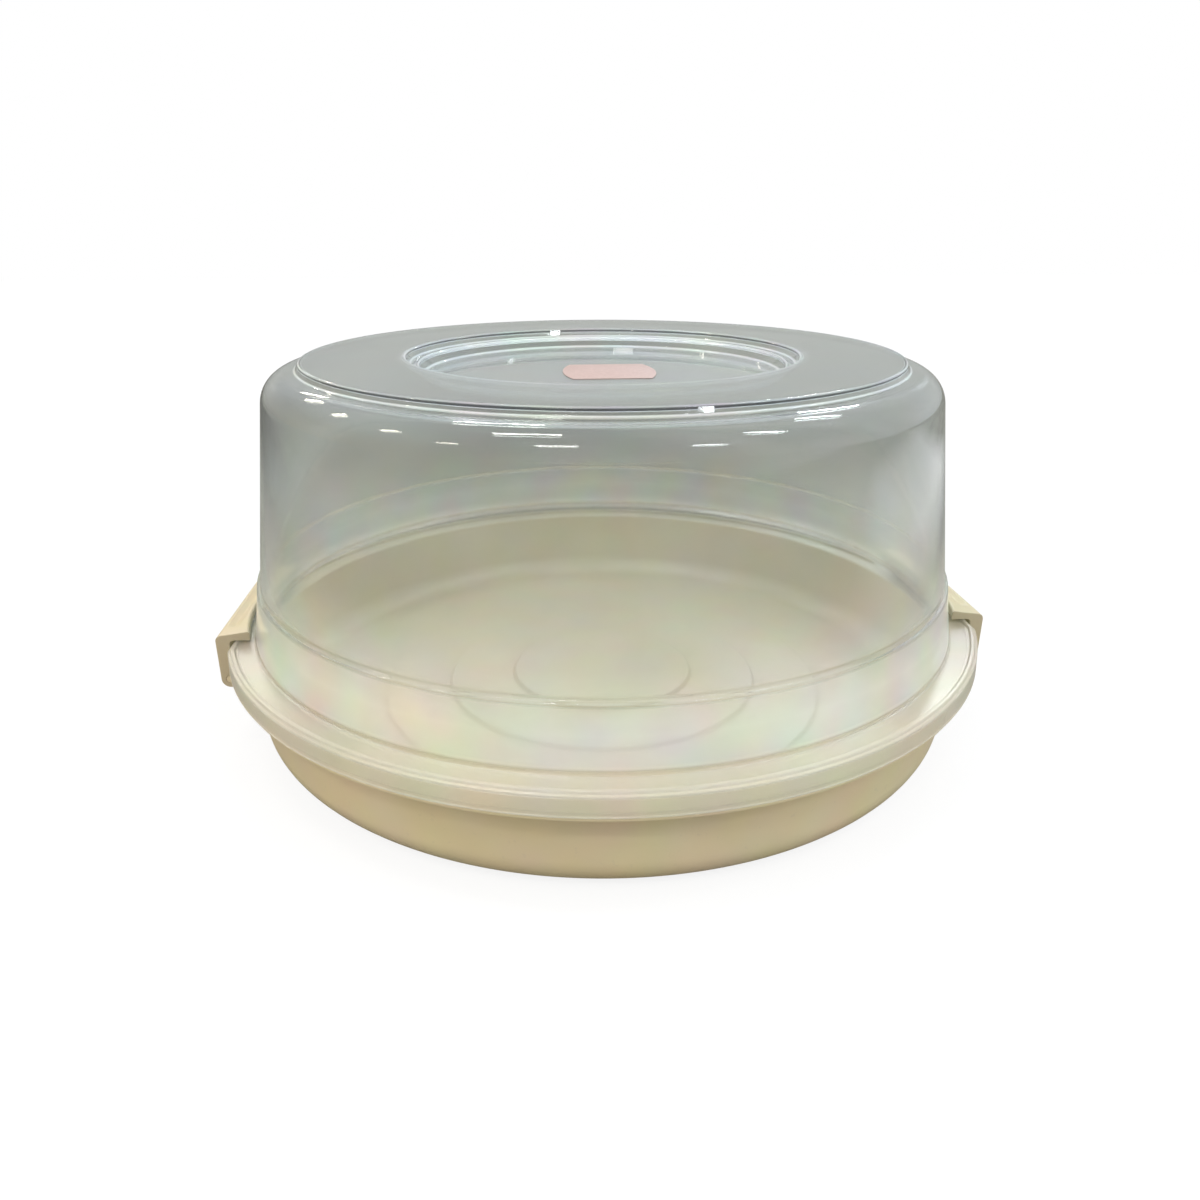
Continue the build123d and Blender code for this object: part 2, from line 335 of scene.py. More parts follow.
# ---- lid --------------------------------------------------------------------------------------------
DOME_LINE = [
    (0.0, RECESS_FLOOR, 1.0, 0),
    (RECESS_STEP_RADIUS - RECESS_SLOPE, RECESS_FLOOR, 1.0, 0),
    (RECESS_STEP_RADIUS, RECESS_STEP_HEIGHT, 0.9, 0),
    (RECESS_RADIUS - RECESS_SLOPE, RECESS_STEP_HEIGHT, 0.9, 0),
    (RECESS_RADIUS, LID_TOP, 1.0, 0),
    (PLATFORM_RADIUS, LID_TOP, 1.0, 0),
    (PLATFORM_RADIUS + PLATFORM_SLOPE, LID_TOP - PLATFORM_STEP, 0.9, 0),
    (SHOULDER_RADIUS, SHOULDER_HEIGHT, SHOULDER_ROUND, 0),
    (WALL_RADIUS, SKIRT_TOP + STEP_RISE, 1.0, 0),
    (SKIRT_RADIUS, SKIRT_TOP, 1.0, 0),
    (DOME_FOOT_RADIUS, FLANGE_BOTTOM, 1.0, 0),
]


def lid_corners():
    """The lid's closed line: out along the top, down the dome, over the flange and bead, round the lip, and
    back along the inside of the wall."""
    foot_share = (FLANGE_TOP - FLANGE_BOTTOM) / (SKIRT_TOP - FLANGE_BOTTOM)
    foot_radius = DOME_FOOT_RADIUS - foot_share * (DOME_FOOT_RADIUS - SKIRT_RADIUS)
    lip_top = LIP_RADIUS - (FLANGE_TOP - LIP_BOTTOM) * LIP_DRAFT
    lip_inner = LIP_RADIUS - WALL
    bead_outer = LIP_RADIUS - BEAD_INSET
    bead_inner = bead_outer - BEAD_WIDTH
    bead_top = FLANGE_TOP + BEAD_HEIGHT
    rim = [
        (foot_radius, FLANGE_TOP, 1.0, 0),
        (bead_inner - BEAD_FOOT_IN, FLANGE_TOP, 0.4, 1),
        (bead_inner + BEAD_SIDE, bead_top, 0.5, 1),
        (bead_outer - BEAD_SIDE, bead_top, 0.5, 1),
        (bead_outer + BEAD_FOOT_OUT, FLANGE_TOP, 0.15, 1),
        (lip_top, FLANGE_TOP - LIP_TOP_DROP, 0.5, 1),
        (LIP_RADIUS, LIP_BOTTOM, 0.6, 1),
        (lip_inner, LIP_BOTTOM, 0.6, 1),
        (lip_inner - (FLANGE_BOTTOM - LIP_BOTTOM) * LIP_DRAFT, FLANGE_BOTTOM, 0.6, 1),
    ]
    inside = offset_line(DOME_LINE, WALL)
    return DOME_LINE[:-1] + rim + inside[::-1]


lid = turned_shell("clear_lid", rounded_line(lid_corners()), LIP_RADIUS)

# ---- tray -------------------------------------------------------------------------------------------
FOOT_INNER = FOOT_OUTER - FOOT_WIDTH
low_share = TRAY_CORNER / (LEDGE_BOTTOM - TRAY_CORNER)
outer_corner_x = TRAY_LOW_RADIUS - (TRAY_RADIUS - TRAY_LOW_RADIUS) * low_share
inner_corner_x = outer_corner_x - TRAY_WALL + CORNER_SHIFT


def terraces(height, inset):
    """The stepped floor's corners from the middle outwards: each riser's top and foot, one rise apart."""
    line = [(0.0, height + len(TERRACE_RADII) * TERRACE_RISE, 1.0, 0)]
    for step, radius in enumerate(TERRACE_RADII):
        top = height + (len(TERRACE_RADII) - step) * TERRACE_RISE
        line += [
            (radius - inset - TERRACE_SLOPE, top, 0.6, 0),
            (radius - inset, top - TERRACE_RISE, 0.6, 0),
        ]
    return line


TRAY_LINE = [
    *terraces(FOOT_HEIGHT, TERRACE_INSET),
    (FOOT_INNER - FOOT_HEIGHT, FOOT_HEIGHT, 0.3, 0),
    (FOOT_INNER, 0.0, 0.3, 0),
    (outer_corner_x, 0.0, TRAY_CORNER, 0),
    (TRAY_RADIUS, LEDGE_BOTTOM, 1.0, 0),
    (LEDGE_RADIUS - LEDGE_BEVEL, LEDGE_BOTTOM, 0.5, 1),
    (LEDGE_RADIUS, LEDGE_BOTTOM + LEDGE_BEVEL, 0.3, 1),
    (LEDGE_RADIUS, LEDGE_TOP, 0.4, 1),
    (RIB_OUTER, LEDGE_TOP, 0.15, 1),
    (RIB_OUTER - RIB_DRAFT, LEDGE_TOP + RIB_HEIGHT, 0.4, 1),
    (RIB_OUTER - RIB_WIDTH + RIB_DRAFT, LEDGE_TOP + RIB_HEIGHT, 0.4, 1),
    (RIB_OUTER - RIB_WIDTH, LEDGE_TOP, 0.15, 1),
    (TRAY_RADIUS - TRAY_WALL, LEDGE_TOP, 0.7, 0),
    (inner_corner_x, FLOOR_TOP, TRAY_CORNER - FLOOR_TOP, 0),
    *reversed(terraces(FLOOR_TOP, 0)),
]


def rib_ends(z, distance, angle, follows):
    """The locating rib sinks into the ledge near each flat: its height falls evenly to none over its fade."""
    turn = np.arctan2(np.abs(np.sin(angle)), np.abs(np.cos(angle)))
    end = np.arccos(RIB_REACH / RIB_OUTER)
    share = np.clip((turn - end) / RIB_FADE, 0, 1)
    return np.where(follows & (z > LEDGE_TOP), LEDGE_TOP + (z - LEDGE_TOP) * share, z)


tray = turned_shell("tray", rounded_line(TRAY_LINE), LEDGE_RADIUS, lift=rib_ends)


# ---- hinge bars -------------------------------------------------------------------------------------
def circle_points(radius, start, end, count):
    """Points of the circle of that radius round the bar's middle, between two angles in degrees."""
    angle = np.radians(np.linspace(start, end, count))
    return np.column_stack([BAR_X + radius * np.cos(angle), BAR_Z + radius * np.sin(angle)])


def lug_outline():
    """Tangents from two points under the ledge to the lug's circle, joined by its lower arc. A tangent meets
    the circle at the arc cosine of the radius over the point's distance."""
    back, front = (LUG_BACK, LUG_TOP), (LUG_FRONT, LUG_TOP)
    angles = []
    for (x, z), side in ((back, 1), (front, -1)):
        away = sqrt((x - BAR_X) ** 2 + (z - BAR_Z) ** 2)
        angles.append(degrees(atan2(z - BAR_Z, x - BAR_X) + side * np.arccos(LUG_RADIUS / away)))
    return np.vstack([[back], circle_points(LUG_RADIUS, angles[0], angles[1] + 360, LUG_SIDES), [front]])


def hinge_bar(name, side):
    """A round bar along Y with three lugs that hang it under the ledge. Side is 1 at the right and -1 at the
    left."""
    circle = circle_points(BAR_RADIUS, 0, 360 - 360 / BAR_SIDES, BAR_SIDES)
    shapes = [extruded(circle, -LATCH_HALF, LATCH_HALF)]
    shapes += [extruded(lug_outline(), place - LUG_WIDTH / 2, place + LUG_WIDTH / 2) for place in LUG_PLACES]
    points, faces = joined(shapes)
    return bevelled(mesh_object(name, points * (side, 1, 1), faces), BAR_BEVEL)


# ---- latches ----------------------------------------------------------------------------------------
def hook_top(x):
    """Height of the hook's top, which climbs towards the dome by the slope's tangent."""
    return LATCH_TOP + (LATCH_FACE - x) * tan(radians(HOOK_SLOPE))


def groove_height(x, share):
    """Height of the finger groove's two sides, which rise evenly from the valley: the root of side squared
    plus the softness rounds where they meet. Share is 1 along the groove and falls to 0 at its ends, where
    the surface climbs out above the hook's top."""
    outer = (x - GROOVE_VALLEY) / (GROOVE_START - GROOVE_VALLEY)
    inner = (GROOVE_VALLEY - x) / (GROOVE_VALLEY - GROOVE_END)
    side = np.maximum(outer, inner)
    soft = np.sqrt(side ** 2 + GROOVE_SOFTNESS)
    return hook_top(x) - GROOVE_DEPTH * share * (1 - soft) + (1 - share) * GROOVE_LIFT


def latch_section(y):
    """The latch's closed section at each y: up the inner face, under the hook, round its tip, over the
    grooved top, down the outer face, round the clip, in along its mouth and round the bore. Every rounding is
    an arc. The tip stays on a circle round the part's axis: x = sqrt(HOOK_INNER squared - y squared)."""
    tip_x = np.sqrt(HOOK_INNER ** 2 - y ** 2)

    def bend(x, z, rounding, start, end, count=5):
        angle = np.radians(np.linspace(start, end, count))
        return [(x + rounding * np.cos(a), z + rounding * np.sin(a)) for a in angle]

    inner_z = BAR_Z + sqrt(GAP_RADIUS ** 2 - (BAR_X - WALL_LOW_X + FACE_AT_GAP) ** 2)
    slope = (WALL_LOW_X - WALL_TOP_X) / (HOOK_BOTTOM - BAR_Z)
    inner_x = WALL_LOW_X - slope * (inner_z - BAR_Z)
    up = 90 - HOOK_SLOPE
    drop = 1 / cos(radians(HOOK_SLOPE))
    loop = [(inner_x, inner_z)]
    loop += bend(WALL_TOP_X - INNER_ROUND, HOOK_BOTTOM - INNER_ROUND, INNER_ROUND, 0, 90)
    loop += bend(tip_x + TIP_UNDER_ROUND, HOOK_BOTTOM + TIP_UNDER_ROUND, TIP_UNDER_ROUND, 270, 180)
    top_start = len(loop)
    tip_z = hook_top(tip_x + TIP_ROUND) - TIP_ROUND * drop
    loop += bend(tip_x + TIP_ROUND, tip_z, TIP_ROUND, 180, up, 7)
    tip_end = loop[-1][0]
    corner_x = LATCH_FACE - LATCH_ROUND
    corner = bend(corner_x, hook_top(corner_x) - LATCH_ROUND * drop, LATCH_ROUND, up, 0, 11)
    for first, last, count in ((tip_end, GROOVE_VALLEY, 9), (GROOVE_VALLEY, corner[0][0], 9)):
        for share in np.linspace(0, 1, count)[1:]:
            along = first + (last - first) * share
            loop.append((along, hook_top(along)))
    loop += corner[1:]
    top_end = len(loop)
    outer_z = BAR_Z + sqrt(GAP_RADIUS ** 2 - (LATCH_FACE - BAR_X) ** 2)
    loop += [(LATCH_FACE, outer_z)]
    upper = len(loop)
    mouth_out = degrees(np.arcsin(MOUTH_HALF / CLIP_RADIUS))
    mouth_in = degrees(np.arcsin(MOUTH_HALF / BORE_RADIUS))
    join = degrees(np.arccos((WALL_LOW_X - FACE_AT_CLIP - BAR_X) / CLIP_RADIUS))
    loop += [tuple(p) for p in circle_points(CLIP_RADIUS, 0, mouth_out - 180, 15)]
    loop += [tuple(p) for p in circle_points(BORE_RADIUS, mouth_in - 180, 180 - mouth_in, 23)]
    loop += [tuple(p) for p in circle_points(CLIP_RADIUS, 180 - mouth_out, join, 8)]
    x = np.stack([np.broadcast_to(p[0], y.shape) for p in loop], axis=1)
    z = np.stack([np.broadcast_to(p[1], y.shape) for p in loop], axis=1).astype(float)
    run_out = np.clip((GROOVE_HALF + GROOVE_FADE / 2 - np.abs(y)) / GROOVE_FADE, 0, 1)
    run_out = (run_out * run_out * (3 - 2 * run_out))[:, None]
    order = np.arange(len(loop))[None, :]
    top = (order >= top_start) & (order < top_end)
    z = np.where(top, np.minimum(z, groove_height(x, run_out)), z)
    return x, z, upper


def latch(name, side):
    """The section carried along Y, its clip left out over each lug, where an arc round the bar closes the
    wall. The attribute "end" is 1 on the first and last stations and 0 between them."""
    edges = [place + step for place in LUG_PLACES for step in (-GAP_HALF, GAP_HALF)]
    even = np.linspace(-LATCH_HALF, LATCH_HALF, LATCH_STATIONS)
    y = np.unique(np.round(np.concatenate([even, edges]), 4))
    x, z, upper = latch_section(y)
    stations, count = x.shape
    grid = np.stack([x, np.broadcast_to(y[:, None], x.shape), z], axis=-1).reshape(-1, 3)
    middle = (y[1:] + y[:-1]) / 2
    open_gap = (np.abs(middle[:, None] - np.array(LUG_PLACES)) < GAP_HALF).any(1)
    here = np.arange(count)
    keep = (here < upper - 1)[None, :] | ~open_gap[:, None]
    faces = ring_quads(stations, count)[keep].tolist()
    faces += [here.tolist(), ((stations - 1) * count + here).tolist()]
    arc_start = degrees(atan2(z[0, upper - 1] - BAR_Z, x[0, upper - 1] - BAR_X))
    arc_end = degrees(atan2(z[0, 0] - BAR_Z, x[0, 0] - BAR_X))
    arc = circle_points(GAP_RADIUS, arc_start, arc_end, 7)[1:-1]
    extra, start = [], len(grid)
    for place in LUG_PLACES:
        inside = np.flatnonzero(np.abs(y - place) <= GAP_HALF + 1e-6)
        rows = start + np.arange(len(inside))[:, None] * len(arc) + np.arange(len(arc))
        rows = np.hstack([(inside * count + upper - 1)[:, None], rows, (inside * count)[:, None]])
        ceiling = np.stack([rows[:-1, :-1], rows[:-1, 1:], rows[1:, 1:], rows[1:, :-1]], axis=-1)
        faces += ceiling.reshape(-1, 4).tolist()
        for station, row in ((inside[0], rows[0]), (inside[-1], rows[-1])):
            clip = station * count + np.arange(upper - 1, count)
            faces.append(clip.tolist() + row[::-1][:-1].tolist())
        carried = np.repeat(arc[None, :, :], len(inside), axis=0)
        at = np.broadcast_to(y[inside][:, None], carried.shape[:2])
        extra.append(np.stack([carried[..., 0], at, carried[..., 1]], axis=-1).reshape(-1, 3))
        start += len(inside) * len(arc)
    points = np.vstack([grid] + extra)
    made = mesh_object(name, points * (side, 1, 1), faces)
    station = np.arange(len(points)) // count
    give_attribute(made, "end", (station == 0) | (station == stations - 1))
    return bevelled(made, LATCH_BEVEL)


# ---- label ------------------------------------------------------------------------------------------
def label_slab():
    """A flat slab whose two sides bow out: each side's x falls from the middle by a parabola of y. Its edge
    is four rows high."""
    y = np.linspace(-LABEL_HALF_DEPTH, LABEL_HALF_DEPTH, LABEL_STATIONS)
    side = LABEL_HALF_WIDTH - LABEL_BULGE * (y / LABEL_HALF_DEPTH) ** 2
    outline = np.vstack([np.column_stack([side, y]), np.column_stack([-side, y])[::-1]])
    count = len(outline)
    levels = [
        (LABEL_FOOT_INSET, 0.0),
        (0.0, LABEL_EDGE),
        (0.0, LABEL_THICKNESS - LABEL_EDGE),
        (LABEL_TOP_INSET, LABEL_THICKNESS),
    ]
    reach = np.array([LABEL_HALF_WIDTH, LABEL_HALF_DEPTH])
    rings = [
        np.column_stack([outline * (1 - inset / reach) + LABEL_CENTRE, np.full(count, RECESS_FLOOR + height)])
        for inset, height in levels
    ]
    here = np.arange(count)
    last = (len(levels) - 1) * count
    sides = ring_quads(len(levels), count).reshape(-1, 4).tolist()
    made = mesh_object("pink_label", np.vstack(rings), sides + [here[::-1].tolist(), (last + here).tolist()])
    made.data.set_sharp_from_angle(angle=radians(LABEL_SHARP))
    return made


hinge_bars = [hinge_bar("hinge_bar_right", 1), hinge_bar("hinge_bar_left", -1)]
latches = {"latch_right": latch("side_latch_right", 1), "latch_left": latch("side_latch_left", -1)}
label = label_slab()


# ==== finishes =======================================================================================
# colours are linear red, green and blue with alpha, and pairs are blended by a noise or a zone
CREAM = (0.645, 0.54, 0.345, 1), (0.68, 0.575, 0.375, 1)
CREAM_SPECK = (0.55, 0.47, 0.33, 1)
# painted shade for the rings over the floor's risers
CREAM_RISER_SHADE = (0.42, 0.35, 0.23, 1)
# painted shade for the latches' end faces
CREAM_END_SHADE = (0.36, 0.295, 0.20, 1)
TINT = (0.95, 0.955, 0.955, 1), (0.90, 0.93, 0.93, 1)
TINT_RIM = (0.91, 0.875, 0.79, 1)
# painted shade: a greyer tint that draws a line along the step
TINT_STEP_SHADE = (0.78, 0.79, 0.79, 1)
# the bluish-white veil of the top also whitens its small edges, partly a painted highlight
MILK = (0.94, 0.92, 0.80, 1), (0.90, 0.95, 0.96, 1)
MILK_RIM = (0.81, 0.73, 0.58, 1)
LAMP_LIGHT = (0.75, 0.79, 0.82, 1)
PINK = (0.47, 0.335, 0.305, 1), (0.515, 0.387, 0.356, 1)
PINK_FIBRE = (0.88, 0.70, 0.68, 1)
PLASTIC_IOR = 1.49

# painted shade in rings on the tray's floor, over its risers: distances from the axis and heights in metres
RING_RADIUS = 0.0418
RING_HALF_PITCH = 0.015
RING_EDGE = (0.0013, 0.0003)
RING_REACH = (0.030, 0.035), (0.112, 0.108)
RING_HEIGHT = (0.0036, 0.0039)
# painted shade on the latches' ends, where it fades in along the attribute "end"
END_SHADE_SHARPNESS = (0.8, 1.0)       # of the darker ends of the latches, in the attribute "end"

# zones of the clear plastic: each goes from 0 at its first height or distance, in metres, to 1 at its second
LOW_ZONE = (0.100, 0.060)
MIDDLE_ZONE = (0.138, 0.122)
HIGH_ZONE = (0.085, 0.112)
STEP_ZONE = (0.0688, 0.0696), (0.0724, 0.0716)
FOOT_ZONE = (0.0455, 0.0465), (0.0500, 0.0485)
RIM_ZONE = (0.0490, 0.0478)      # flange, bead and lip
# the lip's lower edge gets a thicker veil, a painted highlight line
BRIM_ZONE = (0.0402, 0.0390)     # lower edge of the lip
LAND_RADIUS = (0.1612, 0.1600)   # flange inside the bead
RECESS_RADIUS_ZONE = (0.0860, 0.0830)
RECESS_HEIGHT_ZONE = (0.140, 0.147)


class Wire:
    """One output of a shader node. An operator between wires and numbers adds one Math node."""

    def __init__(self, finish, socket):
        self.finish, self.socket = finish, socket

    def math(self, operation, *values):
        inputs = dict(enumerate(values))
        return self.finish.node("ShaderNodeMath", {"operation": operation}, inputs)

    def __add__(self, other):
        return self.math("ADD", self, other)

    def __sub__(self, other):
        return self.math("SUBTRACT", self, other)

    def __rsub__(self, other):
        return self.math("SUBTRACT", other, self)

    def __mul__(self, other):
        return self.math("MULTIPLY", self, other)

    def __pow__(self, other):
        return self.math("POWER", self, other)

    def __abs__(self):
        return self.math("ABSOLUTE", self)

    def larger(self, other):
        return self.math("MAXIMUM", self, other)

    __radd__ = __add__
    __rmul__ = __mul__


class Finish:
    """A material or world being made: node() adds any node, surface() ends it."""

    def __init__(self, name, owner=None):
        self.material = owner or bpy.data.materials.new(name)
        self.material.use_nodes = True
        self.tree = self.material.node_tree
        self.tree.nodes.clear()

    def node(self, kind, settings=None, inputs=None, output=0):
        """A node with its settings, its inputs as wires or numbers, and one of its outputs as a wire."""
        made = self.tree.nodes.new(kind)
        for key, value in (settings or {}).items():
            if key == "stops":
                ramp = made.color_ramp
                while len(ramp.elements) < len(value):
                    ramp.elements.new(1.0)
                for element, (place, colour) in zip(ramp.elements, value):
                    element.position, element.color = place, colour
            else:
                setattr(made, key, value)
        for key, value in (inputs or {}).items():
            if isinstance(value, Wire):
                self.tree.links.new(value.socket, made.inputs[key])
            else:
                made.inputs[key].default_value = value
        return Wire(self, made.outputs[output])

    def place(self):
        return self.node("ShaderNodeTexCoord", output="Object")

    def stretched(self, scale, turn=(0, 0, 0)):
        inputs = {"Vector": self.place(), "Scale": scale, "Rotation": turn}
        return self.node("ShaderNodeMapping", inputs=inputs)

    def across(self):
        """How far from the upright axis."""
        inputs = {0: self.place(), 1: (1.0, 1.0, 0.0)}
        level = self.node("ShaderNodeVectorMath", {"operation": "MULTIPLY"}, inputs)
        return self.node("ShaderNodeVectorMath", {"operation": "LENGTH"}, {0: level}, output="Value")

    def attribute(self, name):
        return self.node("ShaderNodeAttribute", {"attribute_name": name}, output="Fac")

    def axis(self, letter):
        return self.node("ShaderNodeSeparateXYZ", inputs={0: self.place()}, output=letter)

    def noise(self, scale, detail=3.0, roughness=0.5, where=None, output="Fac"):
        inputs = {"Vector": where or self.place(), "Scale": scale, "Detail": detail, "Roughness": roughness}
        return self.node("ShaderNodeTexNoise", inputs=inputs, output=output)

    def between(self, value, low, high):
        """0 below low, 1 above high, and straight between."""
        inputs = {"Value": value, "From Min": low, "From Max": high}
        return self.node("ShaderNodeMapRange", {"clamp": True}, inputs)

    def within(self, value, rise, fall):
        """1 from the end of the rise to the end of the fall, 0 before and after them."""
        return self.between(value, *rise) * self.between(value, *fall)

    def blend(self, factor, first, second, kind="MIX"):
        settings = {"data_type": "RGBA", "blend_type": kind, "clamp_factor": True}
        return self.node("ShaderNodeMix", settings, {0: factor, 6: first, 7: second}, output=2)

    def bump(self, height, strength, distance):
        inputs = {"Height": height, "Strength": strength, "Distance": distance}
        return self.node("ShaderNodeBump", inputs=inputs)

    def path(self, kind):
        return self.node("ShaderNodeLightPath", output=kind)

    def principled(self, inputs):
        return self.node("ShaderNodeBsdfPrincipled", inputs=inputs)

    def mix(self, factor, first, second):
        return self.node("ShaderNodeMixShader", inputs={0: factor, 1: first, 2: second})

    def surface(self, shader):
        world = isinstance(self.material, bpy.types.World)
        end = self.tree.nodes.new("ShaderNodeOutputWorld" if world else "ShaderNodeOutputMaterial")
        self.tree.links.new(shader.socket, end.inputs["Surface"])
        return self.material


def scratches(finish, turn, width):
    """Fine parting lines: noise stretched along one direction, kept where it passes through its middle."""
    streaks = finish.noise(9.0, 2.0, where=finish.stretched((1.0, 34.0, 3.0), turn))
    patches = finish.between(finish.noise(22.0, 1.0), 0.5, 0.62)
    return (1 - finish.between(abs(streaks - 0.5), 0.0, width)) * patches


def cream_plastic():
    """Glossy moulded cream plastic: a cloudy tone with faint pastel patches, tiny specks, hairline scratches
    and an orange-peel skin, with painted shade on the risers of the tray's floor and on the latches' ends."""
    finish = Finish("cream_plastic")
    clouds = finish.noise(11.0, 3.0)
    pastels = finish.noise(46.0, 1.5, output="Color")
    specks = finish.between(finish.noise(420.0, 2.0), 0.66, 0.72)
    lines = scratches(finish, (0.0, 0.0, 0.7), 0.006) + scratches(finish, (0.2, 0.1, 2.2), 0.005)
    # painted shade: a darker ring over each riser of the tray's floor
    radius = finish.across()
    past_ring = radius - RING_RADIUS
    off_ring = past_ring.math("PINGPONG", past_ring, RING_HALF_PITCH)
    rings = finish.between(off_ring, *RING_EDGE) * finish.within(radius, *RING_REACH)
    rings = rings * finish.between(finish.axis("Z"), *RING_HEIGHT)
    # painted shade on the latches' end faces
    ends = finish.between(finish.attribute("end"), *END_SHADE_SHARPNESS)
    tone = finish.blend(clouds, *CREAM)
    tone = finish.blend(specks * 0.25, tone, CREAM_SPECK)
    tone = finish.blend(0.045, tone, pastels, "LINEAR_LIGHT")
    # painted shade over the risers
    tone = finish.blend(rings * 0.35, tone, CREAM_RISER_SHADE)
    # painted shade on the latches' ends
    tone = finish.blend(ends * 0.55, tone, CREAM_END_SHADE)
    skin = finish.noise(620.0, 2.0) * 0.5 + finish.noise(60.0, 2.0) - lines * 0.4
    shader = finish.principled({
        "Base Color": tone,
        "Roughness": 0.27 + finish.noise(35.0, 4.0) * 0.10 + lines * 0.16,
        "IOR": PLASTIC_IOR,
        "Normal": finish.bump(skin, 0.08, 0.0006),
    })
    return finish.surface(shader)


def clear_plastic():
    """Clear moulded plastic under a milky veil that thickens down the wall, over the rim and on the small
    edges, with pastel clouds in its tint and a slow wave in its surface. On the small edges and along the
    lip's lower edge the thicker veil is partly painted highlight, and a greyer tint along the step is painted
    shade.
    Rays from lamps pass straight through it, less where they graze it."""
    finish = Finish("clear_plastic")
    height, radius = finish.axis("Z"), finish.across()
    low = finish.between(height, *LOW_ZONE) ** 1.7
    middle = finish.between(height, *MIDDLE_ZONE)
    high = finish.between(height, *HIGH_ZONE)
    step = finish.within(height, *STEP_ZONE)
    foot = finish.within(height, *FOOT_ZONE)
    rim = finish.between(height, *RIM_ZONE)
    brim = finish.between(height, *BRIM_ZONE)
    land = finish.between(radius, *LAND_RADIUS) * rim
    recess = finish.between(radius, *RECESS_RADIUS_ZONE) * finish.between(height, *RECESS_HEIGHT_ZONE)
    edge = finish.attribute("edge")
    clouds = finish.noise(42.0, 1.5, output="Color")
    normal = finish.bump(finish.noise(15.0, 1.0), 0.014, 0.002)
    tint = finish.blend(high, *TINT)
    tint = finish.blend(rim, tint, TINT_RIM)
    # painted shade: the tint greys along the step
    tint = finish.blend(step * 0.35, tint, TINT_STEP_SHADE)
    glass = finish.principled({
        "Base Color": finish.blend(0.01 + low * 0.07, tint, clouds, "LINEAR_LIGHT"),
        "Roughness": 0.03 + finish.noise(30.0, 3.0) * 0.03 + rim * 0.20,
        "IOR": PLASTIC_IOR,
        "Transmission Weight": 1.0,
        "Normal": normal,
    })
    milk = finish.blend(rim, finish.blend(high, *MILK), MILK_RIM)
    veil = finish.principled({
        "Base Color": finish.blend(0.17 - rim * 0.12, milk, clouds, "LINEAR_LIGHT"),
        "Roughness": 0.30,
        "Normal": normal,
    })
    # partly painted highlight: the thicker veil on the top's small edges stands in for their glints
    upper = 0.01 + middle * 0.05 + low * 0.34 * (1 - step * 0.8) + edge * high * 0.34 + recess * 0.06
    # partly painted highlight: the thicker veil along the lip's lower edge draws a bright line there
    lower = rim * 0.28 - land * 0.10 + brim * 0.20 + foot * 0.07
    haze = upper * (1 - rim) + lower + finish.noise(18.0, 4.0) * 0.02
    straight = finish.node("ShaderNodeBsdfTransparent", inputs={"Color": LAMP_LIGHT})
    lamp_rays = finish.path("Is Shadow Ray").larger(finish.path("Is Diffuse Ray"))
    grazing = finish.node("ShaderNodeLayerWeight", inputs={"Blend": 0.5}, output="Facing")
    plastic = finish.mix(haze, glass, veil)
    return finish.surface(finish.mix(lamp_rays * (1 - grazing ** 3.0), plastic, straight))


def label_paper():
    """Coated pink paper: pale fibres, a slightly uneven print and a soft sheen."""
    finish = Finish("label_paper")
    fibres = finish.noise(900.0, 4.0, 0.7)
    tone = finish.blend(finish.noise(55.0, 2.0), *PINK)
    tone = finish.blend(finish.between(fibres, 0.45, 0.75) * 0.3, tone, PINK_FIBRE)
    shader = finish.principled({
        "Base Color": tone,
        "Roughness": 0.45 + fibres * 0.2,
        "Normal": finish.bump(fibres, 0.15, 0.0002),
    })
    return finish.surface(shader)


cream, clear, pink = cream_plastic(), clear_plastic(), label_paper()

# ==== what moves with what ===========================================================================
for piece, body, node, material, slot in (
    (tray, "tray", "base_tray", cream, "cream_plastic"),
    (lid, "lid", "lid_dome", clear, "clear_plastic"),
    (label, "lid", "lid_label", pink, "label"),
    (latches["latch_right"], "latch_right", "latch_right", cream, "cream_plastic"),
    (latches["latch_left"], "latch_left", "latch_left", cream, "cream_plastic"),
):
    piece.data.materials.append(material)
    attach(piece, body)
    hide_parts(node)
for bar in hinge_bars:
    bar.data.materials.append(cream)
    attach(bar, "tray")
    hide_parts("base_tray")


# ==== stage ==========================================================================================
FLOOR_HALF = 3.0
WHITE = (1, 1, 1, 1)

# what the floor shows, and where its patches begin and are full, in metres
FLOOR_IN_LIGHT = (0.44, 0.42, 0.38, 1), (0.95, 0.95, 0.95, 1)  # to other rays, to the camera
FLOOR_BANDS = (0.21, 0.215, 0.19, 1), (0.35, 0.355, 0.31, 1)
FLOOR_LEFT = (0.10, 0.10, 0.095, 1)
FLOOR_MIDDLE = (0.10, 0.10, 0.085, 1)
BRIGHT_X = (0.35, 0.60), (1.7, 1.2)
BRIGHT_Y = (-0.25, -0.10), (0.55, 0.40)
DARK_X = (-0.30, -0.50), (-1.2, -0.8)
MIDDLE_X = (0.26, 0.08)

# what the room shows by the height of the direction, and its two sides near the horizon
ROOM_STOPS = (
    (0.0, (0.42, 0.43, 0.41, 1)),
    (0.10, (0.57, 0.585, 0.56, 1)),
    (0.30, (0.54, 0.56, 0.57, 1)),
    (1.0, (0.80, 0.83, 0.86, 1)),
)
ROOM_RIGHT = (0.95, 0.97, 1.0, 1)
ROOM_LEFT = (0.34, 0.27, 0.17, 1)
ROOM_SIDE = (0.45, 0.9)
ROOM_DIM = (0.85, 0.85, 0.85, 1)


def seen_through(finish):
    """1 for rays that a glossy or clear surface sends on."""
    return finish.path("Is Glossy Ray").larger(finish.path("Is Transmission Ray"))


